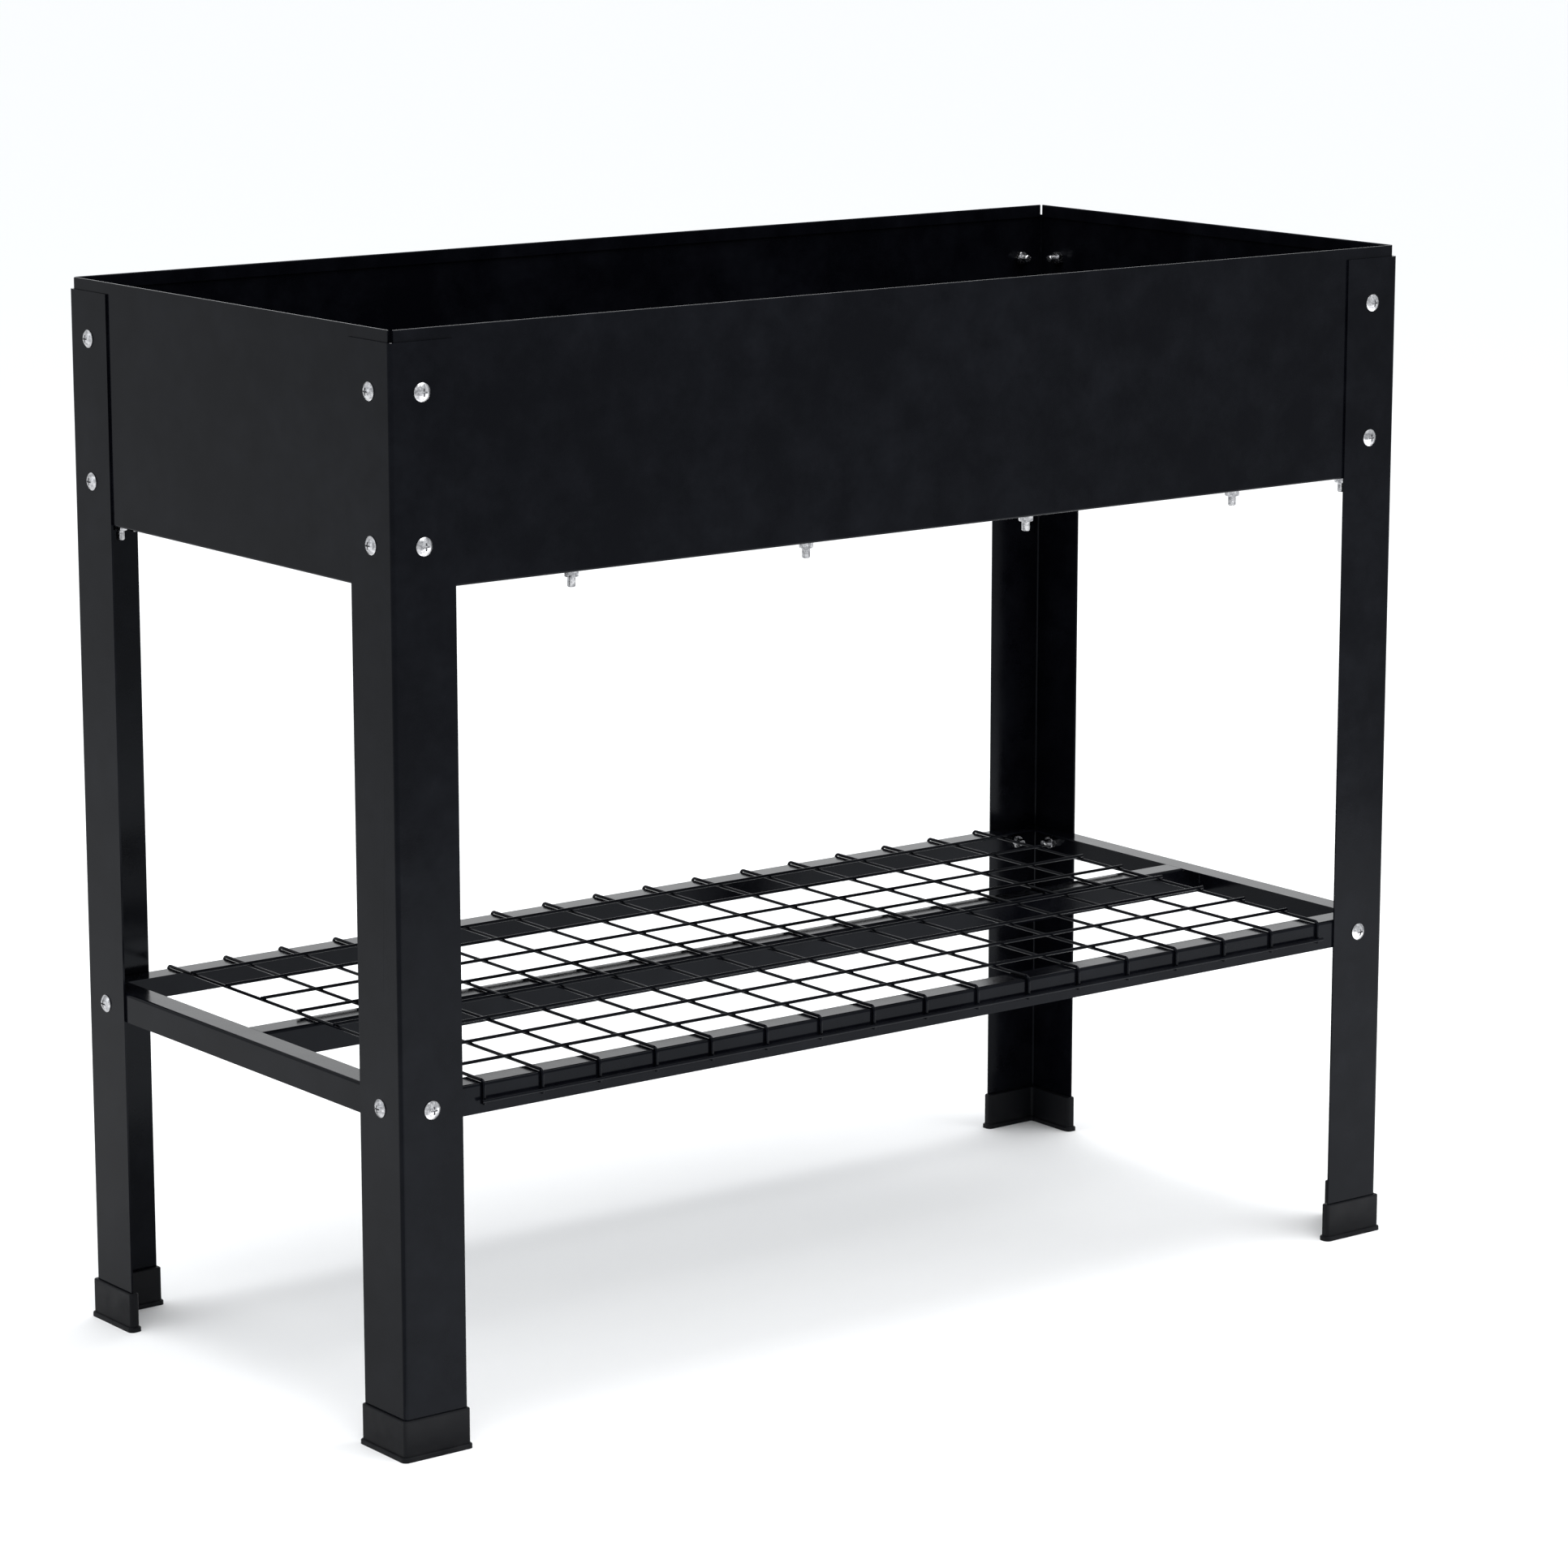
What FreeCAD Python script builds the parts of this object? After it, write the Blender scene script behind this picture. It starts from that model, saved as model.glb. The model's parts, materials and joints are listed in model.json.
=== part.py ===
import FreeCAD
import Part
import os
import Sketcher

# A raised planter on four angle-steel legs: a sheet-steel box at the top and, lower down, a bolted
# frame with a lift-off wire shelf hooked over it. Millimetres; +X runs along the planter, +Y to the
# rear and +Z up, with the origin on the ground under the middle.

# The driving sizes, one cell of the sheet each: name, value and meaning.
SIZES = (
    ("length", 940, "over the outer faces of the legs, along X"),
    ("depth", 430, "over the outer faces of the legs, along Y"),
    ("height", 800, "ground to the walls' folded top edge"),
    ("leg_width", 52, "each flange of a leg, outside"),
    ("leg_sheet", 1.5, "sheet thickness of a leg"),
    ("leg_bend", 3, "outside bend radius of a leg"),
    ("leg_top_drop", 8.5, "leg's top below the walls' top edge"),
    ("wall_height", 180, "height of the box's walls"),
    ("wall_sheet", 0.8, "sheet thickness of the walls"),
    ("wall_bend", 1.6, "outside bend radius of the walls"),
    ("wall_end_gap", 3, "end of a wall to the leg's inner face it points at"),
    ("wall_flange", 24, "inward flange under a wall, outside"),
    ("flange_gap", 1, "between the flanges of two walls at a corner"),
    ("hem_height", 10, "folded-back hem inside the walls' top edge"),
    ("hem_gap", 0.4, "air between the hem and the wall"),
    ("floor_sheet", 0.8, "sheet thickness of the floor"),
    ("floor_gap", 1, "floor's edge to the walls' inner faces"),
    ("drain_hole", 8, "diameter of a drain hole"),
    ("drain_pitch", 208, "drain hole to drain hole along X"),
    ("drain_rows", 150, "between the two rows of drain holes"),
    ("bolt_inset", 26, "leg's outer corner to its bolts' axes"),
    ("wall_bolt_drop", 43.5, "walls' top edge to the upper bolts' axes"),
    ("wall_bolt_pitch", 106, "upper to lower bolts' axes"),
    ("floor_bolt_inset", 12, "wall's outer face to the floor bolts' axes"),
    ("floor_bolt_pitch", 208, "floor bolt to floor bolt along a long wall"),
    ("floor_bolt_end", 42, "planter's outer corner to the nearest floor bolts' axes"),
    ("shelf_height", 265, "ground to the top of the shelf rails"),
    ("rail_height", 22, "web of a shelf rail, outside"),
    ("rail_flange", 20, "top flange of a shelf rail, outside"),
    ("rail_sheet", 1.2, "sheet thickness of a shelf rail"),
    ("rail_bend", 2.2, "outside bend radius of a shelf rail"),
    ("rail_gap", 0.3, "clearance where two shelf rails pass"),
    ("rail_end_gap", 2, "end of a bolted rail to the leg's inner face it points at"),
    ("rail_bolt_drop", 12.5, "shelf rails' top to their bolts' axes"),
    ("wire", 2.5, "diameter of the shelf wire"),
    ("wire_pitch", 50, "wire to wire, both ways"),
    ("wire_end_space", 68, "least distance from the legs' outer faces to the end wires"),
    ("wire_side_space", 38, "least distance from the legs' outer faces to the side wires"),
    ("wire_overhang", 2, "wire end past the last wire it crosses"),
    ("wire_gap", 0.3, "clearance between the wire shelf and the rails"),
    ("hook_drop", 12.5, "shelf rails' top to the axes of the hooks' edge wires"),
    ("bolt", 6, "bolt diameter"),
    ("bolt_length", 14, "bolt under its head"),
    ("bolt_hole", 6.6, "clearance hole for a bolt"),
    ("bolt_tip", 0.6, "chamfer on the bolt's tip"),
    ("head", 13.3, "diameter of the bolt's head"),
    ("head_height", 3.3, "height of the bolt's head"),
    ("head_rim", 0.6, "upright rim round the bolt's head"),
    ("recess", 5.6, "cross recess, tip to tip"),
    ("recess_slot", 1.2, "width of the cross recess's slots"),
    ("recess_depth", 1.9, "depth of the cross recess"),
    ("nut", 10, "nut, across its flats"),
    ("nut_height", 5, "nut's height"),
    ("nut_chamfer", 0.5, "height of the chamfer on the nut's corners"),
    ("thread_gap", 0.05, "radial clearance between nut and bolt"),
    ("foot_height", 30, "height of a foot"),
    ("foot_floor", 3, "foot's floor under the leg's end"),
    ("foot_wall", 2, "foot's wall outside the leg"),
    ("foot_inner_wall", 4, "foot's wall inside the leg"),
    ("foot_corner", 2.4, "rounding of the foot's upright corners"),
    ("foot_round", 1.2, "rounding of the foot's level edges"),
    ("foot_lip", 1.6, "lip round the foot's base"),
    ("foot_lip_height", 3.6, "height of the lip round the foot's base"),
    ("foot_gap", 0.1, "clearance between the leg and its foot"),
)

# Each corner's signs along X and Y, and its turn about Z from the front left one.
CORNERS = {
    "front_left": (-1, -1, 0),
    "front_right": (1, -1, 90),
    "rear_right": (1, 1, 180),
    "rear_left": (-1, 1, 270),
}

# Each side's outward direction along X and Y, and its turn about Z from the front one.
SIDES = {
    "front": (0, -1, 0),
    "right": (1, 0, 90),
    "rear": (0, 1, 180),
    "left": (-1, 0, 270),
}

PARTS_FOLDER = "parts"
UP = FreeCAD.Vector(0, 0, 1)
HEX_CORNER = 3 ** -0.5  # centre to corner of a hexagon one unit across its flats
DRAIN_COLUMNS = (-1.5, -0.5, 0.5, 1.5)  # in drain pitches from the middle
FLOOR_BOLT_COLUMNS = (-1.5, -0.5, 0.5, 1.5)  # in floor bolt pitches from the middle


class Size:
    """A length as a formula over the sheet's cells, with its present value."""

    def __init__(self, formula, value):
        self.formula = formula
        self.value = value

    def joined(self, sign, other, value):
        return Size("(%s %s %s)" % (self.formula, sign, other.formula), value)

    def __add__(self, other):
        other = as_size(other)
        return self.joined("+", other, self.value + other.value)

    def __sub__(self, other):
        other = as_size(other)
        return self.joined("-", other, self.value - other.value)

    def __mul__(self, other):
        other = as_size(other)
        return self.joined("*", other, self.value * other.value)

    def __truediv__(self, other):
        other = as_size(other)
        return self.joined("/", other, self.value / other.value)

    def __neg__(self):
        return as_size(0) - self


def as_size(number):
    """The number as a Size, or the Size itself."""
    if isinstance(number, Size):
        return number
    return Size(repr(number), float(number))


class Planter:
    """The sheet's cells as Sizes, and the levels and faces that several pieces share."""

    def __init__(self, document):
        self.document = document
        sheet = document.addObject("Spreadsheet::Sheet", "Sizes")
        for row, (name, value, meaning) in enumerate(SIZES, start=1):
            sheet.set("A%d" % row, name)
            sheet.set("B%d" % row, str(value))
            sheet.set("C%d" % row, meaning)
            sheet.setAlias("B%d" % row, name)
            setattr(self, name, Size("Sizes." + name, float(value)))
        document.recompute()
        self.half_length = self.length / 2
        self.half_depth = self.depth / 2
        self.inner_half_length = self.half_length - self.leg_sheet
        self.inner_half_depth = self.half_depth - self.leg_sheet
        self.leg_top = self.height - self.leg_top_drop
        self.box_bottom = self.height - self.wall_height
        self.floor_level = self.box_bottom + self.wall_sheet
        self.floor_top = self.floor_level + self.floor_sheet
        self.upper_bolts = self.height - self.wall_bolt_drop
        self.lower_bolts = self.upper_bolts - self.wall_bolt_pitch
        self.rail_bolts = self.shelf_height - self.rail_bolt_drop
        self.rail_bottom = self.shelf_height - self.rail_height
        self.wire_level = self.shelf_height + self.wire_gap + self.wire / 2
        self.hook_line = self.inner_half_depth + self.wire_gap + self.wire / 2
        self.hook_level = self.shelf_height - self.hook_drop


# ---------------------------------------------------------------- building blocks


def bind(target, property_name, size):
    """Drive a property of a document object by a size."""
    target.setExpression(property_name, as_size(size).formula)


def place(target, x, y, z, rotation=FreeCAD.Rotation()):
    """Place an object by three sizes and a fixed rotation."""
    base = FreeCAD.Vector(as_size(x).value, as_size(y).value, as_size(z).value)
    target.Placement = FreeCAD.Placement(base, rotation)
    bind(target, "Placement.Base.x", x)
    bind(target, "Placement.Base.y", y)
    bind(target, "Placement.Base.z", z)


def turn(degrees):
    """A turn about the upright axis."""
    return FreeCAD.Rotation(UP, degrees)


def new_body(planter, name):
    body = planter.document.addObject("PartDesign::Body", name)
    body.Label = name
    return body


def new_sketch(body, name, plane, offset=0):
    """A sketch on one of the body's origin planes, moved along the plane's normal."""
    sketch = body.newObject("Sketcher::SketchObject", name)
    for feature in body.Origin.OriginFeatures:
        if feature.Role == plane:
            sketch.AttachmentSupport = (feature, "")
    sketch.MapMode = "FlatFace"
    bind(sketch, "AttachmentOffset.Base.z", offset)
    return sketch


def vector(point):
    return FreeCAD.Vector(point[0].value, point[1].value, 0)


def hold(sketch, geometry, end, point):
    """Hold a point of a piece of geometry at its place from the sketch's origin."""
    for kind, size in (("DistanceX", point[0]), ("DistanceY", point[1])):
        index = sketch.addConstraint(Sketcher.Constraint(kind, -1, 1, geometry, end, size.value))
        bind(sketch, "Constraints[%d]" % index, size)


def hold_radius(sketch, geometry, radius):
    index = sketch.addConstraint(Sketcher.Constraint("Radius", geometry, radius.value))
    bind(sketch, "Constraints[%d]" % index, radius)


def circle(sketch, x, y, radius):
    centre = (as_size(x), as_size(y))
    radius = as_size(radius)
    geometry = sketch.addGeometry(Part.Circle(vector(centre), UP, radius.value), False)
    hold(sketch, geometry, 3, centre)
    hold_radius(sketch, geometry, radius)


def towards(corner, neighbour, distance):
    """The point a distance from a corner towards its neighbour, which lies level or upright of it."""
    across = neighbour[0].value - corner[0].value
    upward = neighbour[1].value - corner[1].value
    if abs(across) > abs(upward):
        return (corner[0] + distance if across > 0 else corner[0] - distance), corner[1]
    return corner[0], (corner[1] + distance if upward > 0 else corner[1] - distance)


def straight(sketch, start, end, hold_end):
    """A line as its geometry, first point and last point."""
    geometry = sketch.addGeometry(Part.LineSegment(vector(start), vector(end)), False)
    hold(sketch, geometry, 1, start)
    if hold_end:
        hold(sketch, geometry, 2, end)
    return geometry, 1, 2


def rounded(sketch, corner, start, end, radius):
    """The quarter circle that rounds a square corner, as its geometry, first and last point."""
    centre = vector(start) + vector(end) - vector(corner)
    outward = (vector(corner) - centre).normalize()
    arc = Part.Arc(vector(start), centre + outward * radius.value, vector(end))
    geometry = sketch.addGeometry(arc, False)
    hold_radius(sketch, geometry, radius)
    anticlockwise = (vector(start) - centre).cross(vector(end) - centre).z > 0
    return (geometry, 1, 2) if anticlockwise else (geometry, 2, 1)


def outline(sketch, corners, closed=True):
    """Lines through corners given as x, y and rounding; only square corners have a rounding."""
    count = len(corners)
    points = [(as_size(x), as_size(y)) for x, y, rounding in corners]
    roundings = [rounding for x, y, rounding in corners]
    reached = []
    left = []
    for index, rounding in enumerate(roundings):
        point = points[index]
        if rounding is None:
            reached.append(point)
            left.append(point)
        else:
            reached.append(towards(point, points[index - 1], rounding))
            left.append(towards(point, points[(index + 1) % count], rounding))
    pieces = []
    for index in range(count if closed else count - 1):
        following = (index + 1) % count
        is_rounded = roundings[following] is not None
        is_last = not closed and following == count - 1
        pieces.append(straight(sketch, left[index], reached[following], is_rounded or is_last))
        if is_rounded:
            radius = as_size(roundings[following])
            pieces.append(rounded(sketch, points[following], reached[following],
                                  left[following], radius))
    for index in range(len(pieces) if closed else len(pieces) - 1):
        geometry, first, last = pieces[index]
        following, following_first, following_last = pieces[(index + 1) % len(pieces)]
        sketch.addConstraint(
            Sketcher.Constraint("Coincident", geometry, last, following, following_first))


def rectangle(sketch, left, bottom, right, top):
    outline(sketch, (
        (left, bottom, None),
        (right, bottom, None),
        (right, top, None),
        (left, top, None),
    ))


def pad(body, sketch, length):
    feature = body.newObject("PartDesign::Pad", sketch.Name + "_pad")
    feature.Profile = sketch
    bind(feature, "Length", length)
    body.Document.recompute()
    return feature


def cut(body, sketch, length, along_normal=False):
    """A pocket of a length, against the sketch's normal unless told otherwise."""
    feature = body.newObject("PartDesign::Pocket", sketch.Name + "_pocket")
    feature.Profile = sketch
    feature.Reversed = along_normal
    bind(feature, "Length", length)
    body.Document.recompute()
    return feature


def spin(body, kind, sketch):
    """A full turn of a profile about the sketch's upright axis, added or cut away."""
    feature = body.newObject("PartDesign::" + kind, sketch.Name + "_turned")
    feature.Profile = sketch
    feature.ReferenceAxis = (sketch, ["V_Axis"])
    feature.Angle = 360
    body.Document.recompute()
    return feature


def round_level_edges(body, base, level, radius):
    """Round every edge of the feature so far that lies at a level."""
    names = []
    for index, edge in enumerate(base.Shape.Edges, start=1):
        if all(abs(vertex.Z - level.value) < 1e-6 for vertex in edge.Vertexes):
            names.append("Edge%d" % index)
    feature = body.newObject("PartDesign::Fillet", base.Name + "_rounded")
    feature.Base = (base, names)
    bind(feature, "Radius", radius)
    body.Document.recompute()
    return feature


def group(planter, name, piece, spots):
    """Copies of one piece at spots given as x, y, z and rotation, as one compound."""
    copies = []
    for x, y, z, rotation in spots:
        copy = planter.document.addObject("App::Link", name + "_copy")
        copy.LinkedObject = piece
        place(copy, x, y, z, rotation)
        copies.append(copy)
    return gather(planter, name, copies)


def gather(planter, name, pieces):
    compound = planter.document.addObject("Part::Compound", name)
    compound.Label = name
    compound.Links = pieces
    return compound


# ---------------------------------------------------------------- legs and feet


def leg(planter, corner):
    """An angle with its flanges along local +X and +Y, each with three bolt holes."""
    sign_x, sign_y, degrees = CORNERS[corner]
    body = new_body(planter, "leg_" + corner)
    width = planter.leg_width
    sheet = planter.leg_sheet
    section = new_sketch(body, "leg_section", "XY_Plane", planter.foot_floor)
    outline(section, (
        (0, 0, planter.leg_bend),
        (width, 0, None),
        (width, sheet, None),
        (sheet, sheet, planter.leg_bend - sheet),
        (sheet, width, None),
        (0, width, None),
    ))
    pad(body, section, planter.leg_top - planter.foot_floor)
    for plane, along_normal in (("XZ_Plane", False), ("YZ_Plane", True)):
        holes = new_sketch(body, "leg_holes_" + plane[:2], plane)
        for level in (planter.upper_bolts, planter.lower_bolts, planter.rail_bolts):
            circle(holes, planter.bolt_inset, level, planter.bolt_hole / 2)
        cut(body, holes, sheet, along_normal)
    place(body, planter.half_length * sign_x, planter.half_depth * sign_y, 0, turn(degrees))
    return body


def foot_outline(sketch, planter, spread, corner_change):
    """The foot's L-shaped plan, spread past its walls."""
    outer = -(planter.foot_gap + planter.foot_wall + spread)
    end = planter.leg_width + planter.foot_gap + planter.foot_wall + spread
    inner = planter.leg_sheet + planter.foot_gap + planter.foot_inner_wall + spread
    convex = planter.foot_corner + corner_change
    outline(sketch, (
        (outer, outer, convex),
        (end, outer, convex),
        (end, inner, convex),
        (inner, inner, planter.foot_corner),
        (inner, end, convex),
        (outer, end, convex),
    ))


def foot(planter, corner):
    """A moulded cap with a lip round its base and a slot for the end of the leg."""
    sign_x, sign_y, degrees = CORNERS[corner]
    body = new_body(planter, "foot_" + corner)
    lip = new_sketch(body, "foot_lip", "XY_Plane")
    foot_outline(lip, planter, planter.foot_lip, planter.foot_lip)
    lip_pad = pad(body, lip, planter.foot_lip_height)
    round_level_edges(body, lip_pad, planter.foot_lip_height, planter.foot_round)
    walls = new_sketch(body, "foot_walls", "XY_Plane")
    foot_outline(walls, planter, as_size(0), as_size(0))
    wall_pad = pad(body, walls, planter.foot_height)
    round_level_edges(body, wall_pad, planter.foot_height, planter.foot_round)
    gap = planter.foot_gap
    end = planter.leg_width + gap
    inner = planter.leg_sheet + gap
    slot = new_sketch(body, "foot_slot", "XY_Plane", planter.foot_height)
    outline(slot, (
        (-gap, -gap, planter.leg_bend + gap),
        (end, -gap, None),
        (end, inner, None),
        (inner, inner, planter.leg_bend - inner),
        (inner, end, None),
        (-gap, end, None),
    ))
    cut(body, slot, planter.foot_height - planter.foot_floor)
    place(body, planter.half_length * sign_x, planter.half_depth * sign_y, 0, turn(degrees))
    return body


# ---------------------------------------------------------------- the box


def long_floor_bolts(planter):
    """The floor bolts' places along a long wall, from its middle."""
    end = planter.half_length - planter.floor_bolt_end
    between = [planter.floor_bolt_pitch * column for column in FLOOR_BOLT_COLUMNS]
    return [-end] + between + [end]


def short_floor_bolts(planter):
    """The floor bolts' places along a short wall, from its middle."""
    end = planter.half_depth - planter.floor_bolt_end
    return [-end, end]


def wall(planter, side):
    """A wall with a hemmed top and a flange turned in under the floor."""
    out_x, out_y, degrees = SIDES[side]
    is_long = out_x == 0
    half = planter.half_length if is_long else planter.half_depth
    half_span = half - planter.leg_sheet - planter.wall_end_gap
    sheet = planter.wall_sheet
    top = planter.wall_height
    folded = sheet * 2 + planter.hem_gap
    hem_bottom = top - planter.hem_height
    body = new_body(planter, "panel_" + side)
    section = new_sketch(body, "panel_section", "YZ_Plane", -half_span)
    outline(section, (
        (0, 0, planter.wall_bend),
        (planter.wall_flange, 0, None),
        (planter.wall_flange, sheet, None),
        (sheet, sheet, planter.wall_bend - sheet),
        (sheet, top - sheet, None),
        (sheet + planter.hem_gap, top - sheet, None),
        (sheet + planter.hem_gap, hem_bottom, None),
        (folded, hem_bottom, None),
        (folded, top, sheet),
        (0, top, sheet),
    ))
    pad(body, section, half_span * 2)
    holes = new_sketch(body, "panel_bolt_holes", "XZ_Plane")
    for sign in (-1, 1):
        for level in (planter.upper_bolts, planter.lower_bolts):
            circle(holes, (half - planter.bolt_inset) * sign, level - planter.box_bottom,
                   planter.bolt_hole / 2)
    cut(body, holes, sheet)
    flange_holes = new_sketch(body, "panel_flange_holes", "XY_Plane")
    for along in long_floor_bolts(planter) if is_long else short_floor_bolts(planter):
        circle(flange_holes, along, planter.floor_bolt_inset, planter.bolt_hole / 2)
    cut(body, flange_holes, sheet, along_normal=True)
    if not is_long:
        clear_corner_flanges(body, planter, half_span)
    place(body, planter.inner_half_length * out_x, planter.inner_half_depth * out_y,
          planter.box_bottom, turn(degrees))
    return body


def clear_corner_flanges(body, planter, half_span):
    """Set a short wall's flange back at both ends, clear of the long walls' flanges."""
    flange_end = planter.inner_half_depth - planter.wall_flange - planter.flange_gap
    beyond = half_span + planter.flange_gap
    for name, inner, outer in (("first", -beyond, -flange_end), ("second", flange_end, beyond)):
        notch = new_sketch(body, "panel_notch_" + name, "XY_Plane")
        rectangle(notch, inner, planter.wall_bend, outer,
                  planter.wall_flange + planter.flange_gap)
        cut(body, notch, planter.wall_bend, along_normal=True)


def floor(planter):
    """The box's floor, resting on the walls' flanges and drilled for bolts and drainage."""
    body = new_body(planter, "floor_panel")
    half_length = planter.inner_half_length - planter.wall_sheet - planter.floor_gap
    half_depth = planter.inner_half_depth - planter.wall_sheet - planter.floor_gap
    plan = new_sketch(body, "floor_plan", "XY_Plane")
    rectangle(plan, -half_length, -half_depth, half_length, half_depth)
    for x, y in floor_bolt_places(planter):
        circle(plan, x, y, planter.bolt_hole / 2)
    for column in DRAIN_COLUMNS:
        for sign in (-1, 1):
            circle(plan, planter.drain_pitch * column, planter.drain_rows / 2 * sign,
                   planter.drain_hole / 2)
    pad(body, plan, planter.floor_sheet)
    place(body, 0, 0, planter.floor_level)
    return body


def floor_bolt_places(planter):
    """The floor bolts' axes, in X and Y."""
    places = []
    for sign in (-1, 1):
        for x in long_floor_bolts(planter):
            places.append((x, (planter.inner_half_depth - planter.floor_bolt_inset) * sign))
        for y in short_floor_bolts(planter):
            places.append(((planter.inner_half_length - planter.floor_bolt_inset) * sign, y))
    return places


# ---------------------------------------------------------------- the shelf's frame


def rail(planter, name, half_span):
    """An angle rail with its web upright at local y = 0 and its flange on top, along local X."""
    body = new_body(planter, name)
    sheet = planter.rail_sheet
    top = planter.rail_height
    section = new_sketch(body, "rail_section", "YZ_Plane", -half_span)
    outline(section, (
        (0, 0, None),
        (sheet, 0, None),
        (sheet, top - sheet, planter.rail_bend - sheet),
        (planter.rail_flange, top - sheet, None),
        (planter.rail_flange, top, None),
        (0, top, planter.rail_bend),
    ))
    pad(body, section, half_span * 2)
    return body


def notch_rail_ends(body, planter, half_span, flange_half_span):
    """Cut a rail's flange back at both ends so that its web passes under a crossing flange."""
    beyond = half_span + planter.rail_gap
    for name, inner, outer in (("first", -beyond, -flange_half_span),
                               ("second", flange_half_span, beyond)):
        ends = new_sketch(body, "rail_notch_" + name, "XY_Plane", planter.rail_height)
        rectangle(ends, inner, -planter.rail_gap, outer, planter.rail_flange + planter.rail_gap)
        cut(body, ends, planter.rail_bend + planter.rail_gap)


def side_rail(planter, side):
    """A shelf rail bolted inside two legs; the end rails pass under the long ones' flanges."""
    out_x, out_y, degrees = SIDES[side]
    is_long = out_x == 0
    half = planter.half_length if is_long else planter.half_depth
    inner_face = half - planter.leg_sheet
    half_span = inner_face - planter.rail_end_gap
    body = rail(planter, "shelf_rail_" + side, half_span)
    if not is_long:
        notch_rail_ends(body, planter, half_span,
                        inner_face - planter.rail_flange - planter.rail_gap)
    holes = new_sketch(body, "rail_holes", "XZ_Plane")
    for sign in (-1, 1):
        circle(holes, (half - planter.bolt_inset) * sign,
               planter.rail_height - planter.rail_bolt_drop, planter.bolt_hole / 2)
    cut(body, holes, planter.rail_sheet)
    place(body, planter.inner_half_length * out_x, planter.inner_half_depth * out_y,
          planter.rail_bottom, turn(degrees))
    return body


def centre_rail(planter):
    """The rail along the middle, welded between the end rails' webs."""
    half_span = planter.inner_half_length - planter.rail_sheet
    body = rail(planter, "shelf_rail_centre", half_span)
    notch_rail_ends(body, planter, half_span,
                    planter.inner_half_length - planter.rail_flange - planter.rail_gap)
    place(body, 0, 0, planter.rail_bottom)
    return body


# ---------------------------------------------------------------- the wire shelf


def wire_places(planter, span, end_space):
    """Evenly pitched places across a span, as many as leave the end space free."""
    steps = int((span.value - 2 * end_space.value) // planter.wire_pitch.value)
    return [planter.wire_pitch * (index - steps / 2) for index in range(steps + 1)]


def cross_wires(planter):
    """The wires across the shelf, each bent down over both long rails."""
    end = planter.hook_level - planter.wire / 2 - planter.wire_overhang
    line = planter.hook_line
    bend = planter.rail_bend + planter.wire_gap + planter.wire / 2
    body = new_body(planter, "cross_wire")
    path = new_sketch(body, "wire_path", "YZ_Plane")
    outline(path, (
        (-line, end, None),
        (-line, planter.wire_level, bend),
        (line, planter.wire_level, bend),
        (line, end, None),
    ), closed=False)
    section = new_sketch(body, "wire_section", "XY_Plane", end)
    circle(section, 0, -line, planter.wire / 2)
    planter.document.recompute()
    pipe = body.newObject("PartDesign::AdditivePipe", "wire_pipe")
    pipe.Profile = section
    pipe.Spine = (path, [])
    planter.document.recompute()
    columns = wire_places(planter, planter.length, planter.wire_end_space)
    spots = [(x, 0, 0, turn(0)) for x in columns]
    return group(planter, "shelf_cross_wires", body, spots)


def long_wires(planter):
    """The wires along the shelf, welded on top of the cross wires and outside their hooks."""
    columns = wire_places(planter, planter.length, planter.wire_end_space)
    end = columns[-1] + planter.wire / 2 + planter.wire_overhang
    edge = planter.hook_line + planter.wire
    rows = [(y, planter.wire_level + planter.wire)
            for y in wire_places(planter, planter.depth, planter.wire_side_space)]
    rows = [(-edge, planter.hook_level)] + rows + [(edge, planter.hook_level)]
    along = FreeCAD.Rotation(UP, FreeCAD.Vector(1, 0, 0))
    wires = []
    for y, z in rows:
        wire = planter.document.addObject("Part::Cylinder", "long_wire")
        bind(wire, "Radius", planter.wire / 2)
        bind(wire, "Height", end * 2)
        place(wire, -end, y, z, along)
        wires.append(wire)
    return gather(planter, "shelf_long_wires", wires)


# ---------------------------------------------------------------- bolts and nuts


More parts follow.
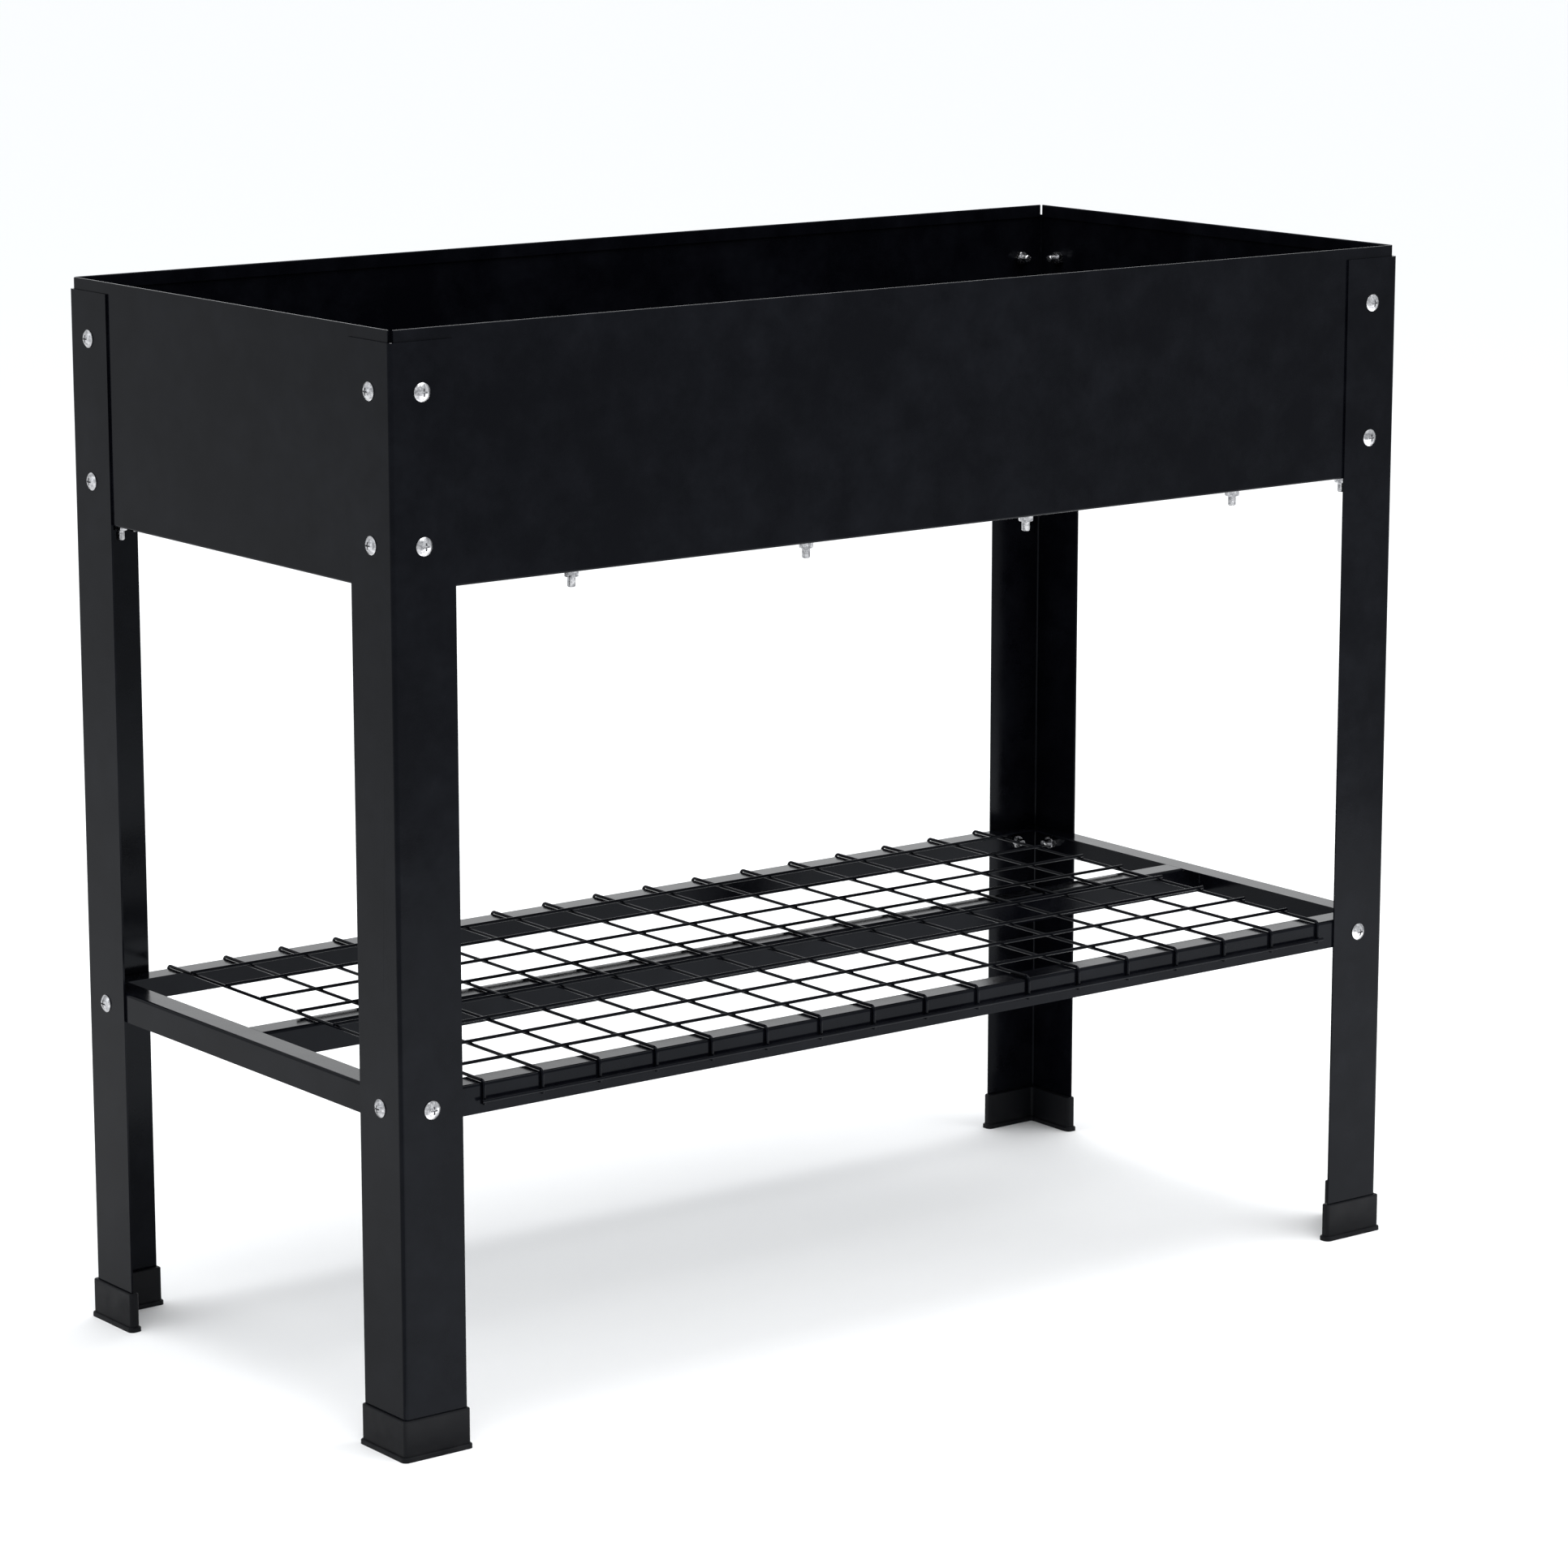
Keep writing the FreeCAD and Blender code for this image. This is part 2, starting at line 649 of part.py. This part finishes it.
def bolt(planter):
    """A cross-recessed truss-head bolt; its head sits on z = 0 and its shank points down."""
    body = new_body(planter, "bolt")
    shank = planter.bolt / 2
    edge = planter.head / 2
    tip = planter.bolt_tip
    profile = new_sketch(body, "bolt_profile", "XZ_Plane")
    outline(profile, (
        (0, planter.head_height, None),
        (0, -planter.bolt_length, None),
        (shank - tip, -planter.bolt_length, None),
        (shank, tip - planter.bolt_length, None),
        (shank, 0, None),
        (edge, 0, None),
        (edge, planter.head_rim, None),
    ), closed=False)
    rim = (edge, planter.head_rim)
    crown = (as_size(0), planter.head_height)
    rise = crown[1].value - rim[1].value
    dome = (edge.value ** 2 + rise ** 2) / (2 * rise)
    centre = FreeCAD.Vector(0, crown[1].value - dome, 0)
    bulge = centre + (vector(rim) + vector(crown) - centre * 2).normalize() * dome
    arc = profile.addGeometry(Part.Arc(vector(rim), bulge, vector(crown)), False)
    last_line = arc - 1
    profile.addConstraint(Sketcher.Constraint("Coincident", last_line, 2, arc, 1))
    profile.addConstraint(Sketcher.Constraint("Coincident", arc, 2, 0, 1))
    profile.addConstraint(Sketcher.Constraint("PointOnObject", arc, 3, -2))
    spin(body, "Revolution", profile)
    cross = new_sketch(body, "bolt_recess", "XY_Plane", planter.head_height)
    tip_reach = planter.recess / 2
    half_slot = planter.recess_slot / 2
    outline(cross, (
        (-tip_reach, -half_slot, None), (-half_slot, -half_slot, None),
        (-half_slot, -tip_reach, None), (half_slot, -tip_reach, None),
        (half_slot, -half_slot, None), (tip_reach, -half_slot, None),
        (tip_reach, half_slot, None), (half_slot, half_slot, None),
        (half_slot, tip_reach, None), (-half_slot, tip_reach, None),
        (-half_slot, half_slot, None), (-tip_reach, half_slot, None),
    ))
    cut(body, cross, planter.recess_depth)
    return body


def nut(planter):
    """A hexagon nut with its upper face on z = 0."""
    body = new_body(planter, "nut")
    flat = planter.nut / 2
    point = planter.nut * HEX_CORNER
    plan = new_sketch(body, "nut_plan", "XY_Plane", -planter.nut_height)
    outline(plan, (
        (point, 0, None),
        (point / 2, flat, None),
        (-point / 2, flat, None),
        (-point, 0, None),
        (-point / 2, -flat, None),
        (point / 2, -flat, None),
    ))
    circle(plan, 0, 0, planter.bolt / 2 + planter.thread_gap)
    pad(body, plan, planter.nut_height)
    corners = new_sketch(body, "nut_corners", "XZ_Plane")
    bottom = -planter.nut_height
    outline(corners, (
        (flat, 0, None),
        (planter.nut, -planter.nut_chamfer * flat.value / (point - flat).value, None),
        (planter.nut, 0, None),
    ))
    outline(corners, (
        (flat, bottom, None),
        (planter.nut, bottom, None),
        (planter.nut, bottom + planter.nut_chamfer * flat.value / (point - flat).value, None),
    ))
    spin(body, "Groove", corners)
    return body


def leg_seats(planter, level, inward):
    """Seats on both flanges of every leg at a level, a depth in from the leg's outer faces."""
    seats = []
    for sign_x, sign_y, degrees in CORNERS.values():
        x = (planter.half_length - planter.bolt_inset) * sign_x
        y = (planter.half_depth - inward) * sign_y
        seats.append((x, y, level, FreeCAD.Rotation(UP, FreeCAD.Vector(0, sign_y, 0))))
        x = (planter.half_length - inward) * sign_x
        y = (planter.half_depth - planter.bolt_inset) * sign_y
        seats.append((x, y, level, FreeCAD.Rotation(UP, FreeCAD.Vector(sign_x, 0, 0))))
    return seats


def fasteners(planter):
    """Every bolt and nut, grouped by the joint it makes."""
    bolt_piece = bolt(planter)
    nut_piece = nut(planter)
    outside = as_size(0)
    wall_inside = planter.leg_sheet + planter.wall_sheet
    rail_inside = planter.leg_sheet + planter.rail_sheet
    box_levels = (planter.upper_bolts, planter.lower_bolts)
    box_bolts = [seat for level in box_levels for seat in leg_seats(planter, level, outside)]
    box_nuts = [seat for level in box_levels for seat in leg_seats(planter, level, wall_inside)]
    shelf_bolts = leg_seats(planter, planter.rail_bolts, outside)
    shelf_nuts = leg_seats(planter, planter.rail_bolts, rail_inside)
    floor_bolts = [(x, y, planter.floor_top, turn(0)) for x, y in floor_bolt_places(planter)]
    floor_nuts = [(x, y, planter.box_bottom, turn(0)) for x, y in floor_bolt_places(planter)]
    return [
        group(planter, "box_bolts", bolt_piece, box_bolts),
        group(planter, "box_nuts", nut_piece, box_nuts),
        group(planter, "shelf_bolts", bolt_piece, shelf_bolts),
        group(planter, "shelf_nuts", nut_piece, shelf_nuts),
        group(planter, "floor_bolts", bolt_piece, floor_bolts),
        group(planter, "floor_nuts", nut_piece, floor_nuts),
    ]


# ---------------------------------------------------------------- the whole planter


def build(planter):
    pieces = [leg(planter, corner) for corner in CORNERS]
    pieces += [foot(planter, corner) for corner in CORNERS]
    pieces += [wall(planter, side) for side in SIDES]
    pieces += [side_rail(planter, side) for side in SIDES]
    pieces += [floor(planter), centre_rail(planter)]
    pieces += [cross_wires(planter), long_wires(planter)]
    pieces += fasteners(planter)
    return pieces


def check(document, pieces):
    """Stop before anything is written if an object failed or a piece is not sound."""
    for item in document.Objects:
        if "Invalid" in item.State or "Error" in item.State:
            raise RuntimeError("%s failed to rebuild: %s" % (item.Name, item.State))
    for piece in pieces:
        if piece.Shape.isNull() or not piece.Shape.isValid() or not piece.Shape.Solids:
            raise RuntimeError("%s is not a sound solid" % piece.Label)


def main():
    document = FreeCAD.newDocument("raised_planter")
    pieces = build(Planter(document))
    document.recompute()
    check(document, pieces)
    os.makedirs(PARTS_FOLDER, exist_ok=True)
    for piece in pieces:
        piece.Shape.exportStep(os.path.join(PARTS_FOLDER, piece.Label + ".step"))
        box = piece.Shape.BoundBox
        print("%s: %d solids, volume %.0f, box %.1f %.1f %.1f to %.1f %.1f %.1f" % (
            piece.Label, len(piece.Shape.Solids), piece.Shape.Volume,
            box.XMin, box.YMin, box.ZMin, box.XMax, box.YMax, box.ZMax))


main()
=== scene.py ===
import json
import math
import random

import bpy
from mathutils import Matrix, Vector


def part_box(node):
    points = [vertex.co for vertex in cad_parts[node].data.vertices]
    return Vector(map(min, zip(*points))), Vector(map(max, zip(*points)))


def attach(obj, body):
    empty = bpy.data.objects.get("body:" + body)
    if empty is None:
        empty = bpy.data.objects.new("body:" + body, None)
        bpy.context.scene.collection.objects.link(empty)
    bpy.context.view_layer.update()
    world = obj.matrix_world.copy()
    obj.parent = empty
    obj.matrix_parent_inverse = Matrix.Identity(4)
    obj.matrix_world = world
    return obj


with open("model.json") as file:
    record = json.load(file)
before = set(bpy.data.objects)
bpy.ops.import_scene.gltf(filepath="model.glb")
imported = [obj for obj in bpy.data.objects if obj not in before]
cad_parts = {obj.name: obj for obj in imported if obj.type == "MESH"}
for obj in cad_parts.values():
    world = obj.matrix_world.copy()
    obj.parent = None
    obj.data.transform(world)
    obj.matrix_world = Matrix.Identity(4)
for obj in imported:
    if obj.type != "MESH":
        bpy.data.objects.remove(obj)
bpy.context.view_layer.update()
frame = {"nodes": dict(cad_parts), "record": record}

# Lengths are in metres, except the camera's lens and sensor, which are in millimetres.
CAMERA_PLACE = Vector((-2.376, -3.140, 1.211))
CAMERA_TARGET = Vector((0.015, -0.02, 0.395))
CAMERA_LENS = 119.0
SENSOR = 36.0
CAMERA_CLIP = 60.0
FLOOR_REACH = 60.0

# The coat's low index keeps faces seen square on black and lets grazing ones reflect the room.
COAT_IOR = 1.15
COAT_TINT = (0.86, 0.92, 1.0, 1.0)
SHEET_BASE = (0.0012, 0.0013, 0.0022, 1.0)
SHEET_DUSTY = (0.0034, 0.0037, 0.0052, 1.0)
SHEET_GLOSS = (0.12, 0.19)
SHEET_PEEL = 0.14
WIRE_BASE = (0.0006, 0.0007, 0.0016, 1.0)
WIRE_DUSTY = (0.0024, 0.0027, 0.0040, 1.0)
WIRE_GLOSS = (0.16, 0.24)
WIRE_PEEL = 0.12
FOOT_IOR = 1.20
FOOT_BASE = (0.0026, 0.0029, 0.0040, 1.0)
FOOT_SCUFFED = (0.011, 0.011, 0.012, 1.0)
FOOT_SCUFF_HEIGHT = 0.010
# The two ends of the zinc's colour: the dark and bright of painted reflections, with the plate's own crystal
# mottle blended between them.
ZINC_REFLECTION_AND_MOTTLE_DARK = (0.07, 0.07, 0.08, 1.0)
ZINC_REFLECTION_AND_MOTTLE_BRIGHT = (0.66, 0.66, 0.67, 1.0)
STAGE_COLOUR = (0.96, 0.96, 0.96, 1.0)
WORLD_COLOUR = (0.96, 0.98, 1.0, 1.0)
WORLD_STRENGTH = 1.05
SIDE_LIGHT_COLOUR = (0.93, 0.96, 1.0)

WIRE_RADIUS = 0.00125
CLUSTER_GAP = 0.005       # points of two wires are always further apart than this
GRID_PER_METRE = 1e5      # points that round to the same grid point are one point

WELD_SIDES = 10
BEAD_ROWS = 4             # rows of faces along a plain bead, and the rows that each ripple adds
BEAD_TIP = 0.06           # size at the very ends, as a share of the full radius
BEAD_SWELL = 0.94         # the rest of it, which the taper adds
BEAD_TAPER_POWER = 4
BEAD_RIPPLE = 0.10
BEAD_LUMPS = 0.06
WIRE_WELD_SEED = 11
WIRE_WELD_REACH = (0.85, 1.05)    # both are shares of the wire's radius
WIRE_WELD_RADIUS = (0.62, 0.74)
CENTRE_WELD_SEED = 23
CENTRE_WELD_RADIUS = 0.0013
CENTRE_WELD_LENGTH = 0.010
CENTRE_WELD_RAISE = 0.001         # above the middle of the rail's height
CENTRE_WELD_RIPPLES = 6

THREAD_RADIUS = 0.003
THREAD_PITCH = 0.001
THREAD_RISE = 0.00014
THREAD_STEPS = 18                 # steps in one turn
THREAD_BARE_TURNS = 1.2           # left off, half at each end
THREAD_HALF_WIDTH = 0.36          # of the ridge's foot, as a share of the pitch


# ---------------------------------------------------------------- node helpers


def new_material(name):
    """A new material, its node tree and the Principled shader joined to its output."""
    material = bpy.data.materials.new(name)
    material.use_nodes = True
    tree = material.node_tree
    tree.nodes.clear()
    output = tree.nodes.new("ShaderNodeOutputMaterial")
    shader = tree.nodes.new("ShaderNodeBsdfPrincipled")
    tree.links.new(shader.outputs["BSDF"], output.inputs["Surface"])
    return material, tree, shader


def noise(tree, coordinates, scale, detail=2.0, roughness=0.5):
    node = tree.nodes.new("ShaderNodeTexNoise")
    node.inputs["Scale"].default_value = scale
    node.inputs["Detail"].default_value = detail
    node.inputs["Roughness"].default_value = roughness
    tree.links.new(coordinates, node.inputs["Vector"])
    return node.outputs["Fac"]


def remap(tree, value, source, target):
    """The value, stretched from the source range to the target range and held inside it."""
    node = tree.nodes.new("ShaderNodeMapRange")
    for name, number in zip(("From Min", "From Max", "To Min", "To Max"), source + target):
        node.inputs[name].default_value = number
    tree.links.new(value, node.inputs["Value"])
    return node.outputs["Result"]


def multiply(tree, first, second):
    node = tree.nodes.new("ShaderNodeMath")
    node.operation = "MULTIPLY"
    for socket, value in zip(node.inputs, (first, second)):
        tree.links.new(value, socket)
    return node.outputs["Value"]


def blend_colours(tree, factor, first, second):
    node = tree.nodes.new("ShaderNodeMix")
    node.data_type = "RGBA"
    tree.links.new(factor, node.inputs["Factor"])
    node.inputs["A"].default_value = first
    node.inputs["B"].default_value = second
    return node.outputs["Result"]


def bump(tree, height, strength, distance, normal=None):
    node = tree.nodes.new("ShaderNodeBump")
    node.inputs["Strength"].default_value = strength
    node.inputs["Distance"].default_value = distance
    tree.links.new(height, node.inputs["Height"])
    if normal is not None:
        tree.links.new(normal, node.inputs["Normal"])
    return node.outputs["Normal"]


def object_coordinates(tree):
    return tree.nodes.new("ShaderNodeTexCoord").outputs["Object"]


# ---------------------------------------------------------------- materials


def coat_material(name, base, dusty, gloss, peel):
    """Black powder coat: orange peel, faint dust and handling marks."""
    material, tree, shader = new_material(name)
    place = object_coordinates(tree)
    clouds = noise(tree, place, scale=9.0, detail=4.0, roughness=0.6)
    smears = noise(tree, place, scale=34.0, detail=5.0, roughness=0.65)
    specks = noise(tree, place, scale=900.0)
    dust = remap(tree, multiply(tree, clouds, smears), source=(0.18, 0.42), target=(0.0, 1.0))
    tree.links.new(blend_colours(tree, dust, base, dusty), shader.inputs["Base Color"])
    rough = remap(tree, smears, source=(0.3, 0.7), target=gloss)
    tree.links.new(rough, shader.inputs["Roughness"])
    shader.inputs["IOR"].default_value = COAT_IOR
    shader.inputs["Specular Tint"].default_value = COAT_TINT
    peel_height = noise(tree, place, scale=520.0, detail=1.5)
    waves = noise(tree, place, scale=14.0, detail=1.0)
    normal = bump(tree, waves, strength=0.10, distance=0.0010)
    normal = bump(tree, peel_height, strength=peel, distance=0.00012, normal=normal)
    normal = bump(tree, specks, strength=peel * 0.5, distance=0.00004, normal=normal)
    tree.links.new(normal, shader.inputs["Normal"])
    return material


def foot_material():
    """Black moulded plastic: fine spark texture, scuffed a little at the base."""
    material, tree, shader = new_material("foot_plastic")
    place = object_coordinates(tree)
    grain = noise(tree, place, scale=1400.0)
    clouds = noise(tree, place, scale=60.0, detail=4.0, roughness=0.6)
    corner = tree.nodes.new("ShaderNodeSeparateXYZ")
    tree.links.new(place, corner.inputs["Vector"])
    low = remap(tree, corner.outputs["Z"], source=(0.0, FOOT_SCUFF_HEIGHT), target=(1.0, 0.0))
    marks = remap(tree, clouds, source=(0.45, 0.7), target=(0.0, 1.0))
    scuff = multiply(tree, low, marks)
    tree.links.new(blend_colours(tree, scuff, FOOT_BASE, FOOT_SCUFFED), shader.inputs["Base Color"])
    rough = remap(tree, clouds, source=(0.3, 0.7), target=(0.46, 0.60))
    tree.links.new(rough, shader.inputs["Roughness"])
    shader.inputs["IOR"].default_value = FOOT_IOR
    normal = bump(tree, grain, strength=0.35, distance=0.00008)
    tree.links.new(normal, shader.inputs["Normal"])
    return material


def zinc_material():
    """Bright zinc plate: light and dark patches of painted reflection, a crystal mottle and fine scratches.
    """
    material, tree, shader = new_material("zinc_plate")
    place = object_coordinates(tree)
    # These patches are painted reflections in the colour, and real dents in the bump.
    reflection_and_dent_patches = noise(tree, place, scale=330.0, detail=3.0, roughness=0.6)
    mottle = noise(tree, place, scale=1100.0, detail=3.0, roughness=0.6)
    scratches = noise(tree, place, scale=4200.0)
    # Painted reflection: the patches swing the metal's colour between dark and bright the way reflections of
    # a contrasting room would, and the mottle adds the plate's own crystal tone.
    light = multiply(tree, remap(tree, reflection_and_dent_patches, source=(0.36, 0.62), target=(0.35, 1.0)),
                     remap(tree, mottle, source=(0.3, 0.7), target=(0.6, 1.0)))
    tree.links.new(blend_colours(tree, light, ZINC_REFLECTION_AND_MOTTLE_DARK, ZINC_REFLECTION_AND_MOTTLE_BRIGHT), shader.inputs["Base Color"])
    shader.inputs["Metallic"].default_value = 1.0
    rough = remap(tree, mottle, source=(0.3, 0.7), target=(0.14, 0.30))
    tree.links.new(rough, shader.inputs["Roughness"])
    normal = bump(tree, reflection_and_dent_patches, strength=0.5, distance=0.0006)
    normal = bump(tree, scratches, strength=0.25, distance=0.00003, normal=normal)
    tree.links.new(normal, shader.inputs["Normal"])
    return material


def dress_frame():
    """Every carried-over piece takes the material of its slot in the record."""
    looks = {"powder_coat": coat_material("powder_coat", SHEET_BASE, SHEET_DUSTY, SHEET_GLOSS, SHEET_PEEL),
             "wire": coat_material("wire_coat", WIRE_BASE, WIRE_DUSTY, WIRE_GLOSS, WIRE_PEEL),
             "foot": foot_material(),
             "zinc": zinc_material()}
    slots = {row["node"]: row["material_slot"] for row in frame["record"]["subparts"]}
    for node, piece in frame["nodes"].items():
        for slot in piece.material_slots:
            slot.material = looks[slots[node]]
    return looks


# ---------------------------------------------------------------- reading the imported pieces


def clusters(values, gap):
    """Lowest and highest value of each run of values that are no further apart than gap."""
    ordered = sorted(values)
    runs = [[ordered[0], ordered[0]]]
    for value in ordered[1:]:
        if value - runs[-1][1] > gap:
            runs.append([value, value])
        else:
            runs[-1][1] = value
    return runs


def node_points(node):
    return [vertex.co for vertex in frame["nodes"][node].data.vertices]


def solid_boxes(node):
    """Lowest and highest corner of each separate solid of a node, found by its joined faces."""
    mesh = frame["nodes"][node].data
    keys = [tuple(round(value * GRID_PER_METRE) for value in vertex.co) for vertex in mesh.vertices]
    owner = {key: key for key in keys}

    def root(key):
        while owner[key] != key:
            owner[key] = owner[owner[key]]
            key = owner[key]
        return key

    for polygon in mesh.polygons:
        first = root(keys[polygon.vertices[0]])
        for index in polygon.vertices[1:]:
            owner[root(keys[index])] = first
    solids = {}
    for key, vertex in zip(keys, mesh.vertices):
        solids.setdefault(root(key), []).append(vertex.co)
    return [(Vector([min(point[axis] for point in points) for axis in range(3)]),
             Vector([max(point[axis] for point in points) for axis in range(3)]))
            for points in solids.values()]


# ---------------------------------------------------------------- welds and threads


def add_piece(name, vertices, faces, body, material):
    """A smooth-shaded piece that rides on a CAD body and takes its finish from a slot."""
    mesh = bpy.data.meshes.new(name)
    mesh.from_pydata(vertices, [], faces)
    mesh.materials.append(material)
    for polygon in mesh.polygons:
        polygon.use_smooth = True
    piece = bpy.data.objects.new(name, mesh)
    bpy.context.scene.collection.objects.link(piece)
    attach(piece, body)


def sweep(vertices, faces, rings):
    """A closed skin over rings of the same number of points, capped at both ends."""
    start = len(vertices)
    count = len(rings[0])
    for ring in rings:
        vertices.extend(ring)
    for row in range(len(rings) - 1):
        for step in range(count):
            here = start + row * count
            following = (step + 1) % count
            faces.append((here + step, here + following,
                          here + count + following, here + count + step))
    faces.append(tuple(start + step for step in reversed(range(count))))
    faces.append(tuple(start + (len(rings) - 1) * count + step for step in range(count)))


def bead(vertices, faces, first, last, radius, draw, ripples):
    """A lumpy weld bead from one point to another, tapered at its ends."""
    along = last - first
    axis = along.normalized()
    side = axis.orthogonal().normalized()
    other = axis.cross(side)
    rows = BEAD_ROWS * (1 + ripples)
    rings = []
    for row in range(rows + 1):
        part = row / rows
        roundness = math.sqrt(max(0.0, 1.0 - (2.0 * part - 1.0) ** BEAD_TAPER_POWER))
        taper = roundness * BEAD_SWELL + BEAD_TIP
        ripple = 1.0 + BEAD_RIPPLE * math.sin(part * ripples * 2.0 * math.pi)
        size = radius * taper * ripple * (1.0 + draw.uniform(-BEAD_LUMPS, BEAD_LUMPS))
        middle = first + along * part
        rings.append([middle + (side * math.cos(turn) + other * math.sin(turn)) * size
                      for turn in (2.0 * math.pi * step / WELD_SIDES for step in range(WELD_SIDES))])
    sweep(vertices, faces, rings)


def wire_welds(material):
    """The small flash squeezed out where each long wire is welded to each cross wire."""
    draw = random.Random(WIRE_WELD_SEED)
    columns = [(low + high) / 2 for low, high in
               clusters([point.x for point in node_points("shelf_cross_wires")], CLUSTER_GAP)]
    cross_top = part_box("shelf_cross_wires")[1][2]
    long_points = node_points("shelf_long_wires")
    vertices, faces = [], []
    for low, high in clusters([point.y for point in long_points], CLUSTER_GAP):
        row = (low + high) / 2
        heights = [point.z for point in long_points if low <= point.y <= high]
        level = (min(heights) + max(heights)) / 2
        is_edge = level < cross_top - WIRE_RADIUS
        for column in columns:
            if is_edge:
                seat = Vector((column, row - math.copysign(WIRE_RADIUS, row), level))
            else:
                seat = Vector((column, row, level - WIRE_RADIUS))
            reach = Vector((WIRE_RADIUS * draw.uniform(*WIRE_WELD_REACH), 0, 0))
            bead(vertices, faces, seat - reach, seat + reach,
                 WIRE_RADIUS * draw.uniform(*WIRE_WELD_RADIUS), draw, ripples=0)
    add_piece("shelf_wire_welds", vertices, faces, "wire_shelf", material)


def centre_rail_welds(material):
    """The beads that hold the ends of the centre rail's web to the end rails."""
    draw = random.Random(CENTRE_WELD_SEED)
    low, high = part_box("shelf_rail_centre")
    middle = (low[2] + high[2]) / 2 + CENTRE_WELD_RAISE
    offset = CENTRE_WELD_RADIUS * 0.5
    half = Vector((0, 0, CENTRE_WELD_LENGTH / 2))
    vertices, faces = [], []
    for end, inward in ((low[0], 1), (high[0], -1)):
        place = Vector((end + inward * offset, low[1] - offset, middle))
        bead(vertices, faces, place - half, place + half, CENTRE_WELD_RADIUS, draw, CENTRE_WELD_RIPPLES)
    add_piece("centre_rail_welds", vertices, faces, "planter", material)


def thread(vertices, faces, start, axis, length):
    """A triangular ridge wound right-handed along a bolt's tail, fading out over half a turn at its ends."""
    side = axis.orthogonal().normalized()
    other = axis.cross(side)
    turns = length / THREAD_PITCH - THREAD_BARE_TURNS
    count = int(turns * THREAD_STEPS)
    fade_steps = THREAD_STEPS / 2
    half_width = axis * THREAD_PITCH * THREAD_HALF_WIDTH
    rings = []
    for step in range(count + 1):
        turn = 2.0 * math.pi * step / THREAD_STEPS
        fade = min(1.0, step / fade_steps, (count - step) / fade_steps)
        outward = side * math.cos(turn) + other * math.sin(turn)
        centre = start + axis * (THREAD_PITCH * (THREAD_BARE_TURNS / 2 + step / THREAD_STEPS))
        sunk = outward * (THREAD_RADIUS - THREAD_RISE)
        rings.append([centre + sunk - half_width,
                      centre + outward * (THREAD_RADIUS + THREAD_RISE * fade),
                      centre + sunk + half_width])
    sweep(vertices, faces, rings)


def bolt_threads(material):
    """Threads on the tails of the bolts, past their nuts."""
    for family in ("box", "shelf", "floor"):
        nuts = solid_boxes(family + "_nuts")
        vertices, faces = [], []
        for low, high in solid_boxes(family + "_bolts"):
            size = high - low
            axis = max(range(3), key=lambda index: size[index])
            middle = (low + high) / 2
            # An upright bolt points down, and the others point in to the planter's middle.
            sign = -1 if axis == 2 else -math.copysign(1, middle[axis])
            near = min(nuts, key=lambda box: ((box[0] + box[1]) / 2 - middle).length)
            direction = Vector((0, 0, 0))
            direction[axis] = sign
            start = Vector(middle)
            start[axis] = near[0][axis] if sign < 0 else near[1][axis]
            tip = low[axis] if sign < 0 else high[axis]
            thread(vertices, faces, start, direction, abs(tip - start[axis]))
        add_piece(family + "_bolt_threads", vertices, faces, "planter", material)


# ---------------------------------------------------------------- stage, lights and camera


def stage_floor():
    """A flat pale floor that reaches far past the planter on every side."""
    reach = FLOOR_REACH
    mesh = bpy.data.meshes.new("stage_floor")
    mesh.from_pydata([(-reach, -reach, 0), (reach, -reach, 0), (reach, reach, 0), (-reach, reach, 0)],
                     [], [(0, 1, 2, 3)])
    floor = bpy.data.objects.new("stage_floor", mesh)
    bpy.context.scene.collection.objects.link(floor)
    material, _, shader = new_material("stage_pale")
    shader.inputs["Base Color"].default_value = STAGE_COLOUR
    shader.inputs["Roughness"].default_value = 0.9
    shader.inputs["Specular IOR Level"].default_value = 0.1
    mesh.materials.append(material)


def area_light(name, place, target, size, power, colour=(1.0, 1.0, 1.0)):
    """A soft panel that lights and reflects but isn't seen itself."""
    data = bpy.data.lights.new(name, "AREA")
    data.shape = "RECTANGLE"
    data.size, data.size_y = size
    data.energy = power
    data.color = colour
    light = bpy.data.objects.new(name, data)
    light.location = place
    light.rotation_euler = (Vector(target) - Vector(place)).to_track_quat("-Z", "Y").to_euler()
    light.visible_camera = False
    bpy.context.scene.collection.objects.link(light)


def lights():
    """A pale room, with soft panels above, behind, at the left and, facing up, in front."""
    world = bpy.data.worlds.new("world")
    world.use_nodes = True
    background = world.node_tree.nodes["Background"]
    background.inputs["Color"].default_value = WORLD_COLOUR
    background.inputs["Strength"].default_value = WORLD_STRENGTH
    bpy.context.scene.world = world
    bpy.context.scene.view_settings.view_transform = "Standard"
    area_light("overhead", place=(0.1, -0.5, 2.8), target=(0, -0.3, 0.0), size=(2.6, 2.0), power=80)
    area_light("behind", place=(3.0, 4.2, 1.4), target=(0, 0, 0.4), size=(5.0, 1.8), power=22)
    area_light("floor_bounce", place=(0.45, -0.90, 0.02), target=(0.45, -0.88, 1.0),
               size=(2.0, 1.32), power=12)
    area_light("left_side", place=(-3.6, 0.6, 1.6), target=(0, 0, 0.5), size=(1.6, 2.2), power=10,
               colour=SIDE_LIGHT_COLOUR)


def camera():
    data = bpy.data.cameras.new("camera")
    data.lens = CAMERA_LENS
    data.sensor_width = SENSOR
    data.clip_end = CAMERA_CLIP
    view = bpy.data.objects.new("camera", data)
    view.location = CAMERA_PLACE
    view.rotation_euler = (CAMERA_TARGET - CAMERA_PLACE).to_track_quat("-Z", "Y").to_euler()
    bpy.context.scene.collection.objects.link(view)
    bpy.context.scene.camera = view


looks = dress_frame()
wire_welds(looks["wire"])
centre_rail_welds(looks["powder_coat"])
bolt_threads(looks["zinc"])
stage_floor()
lights()
camera()
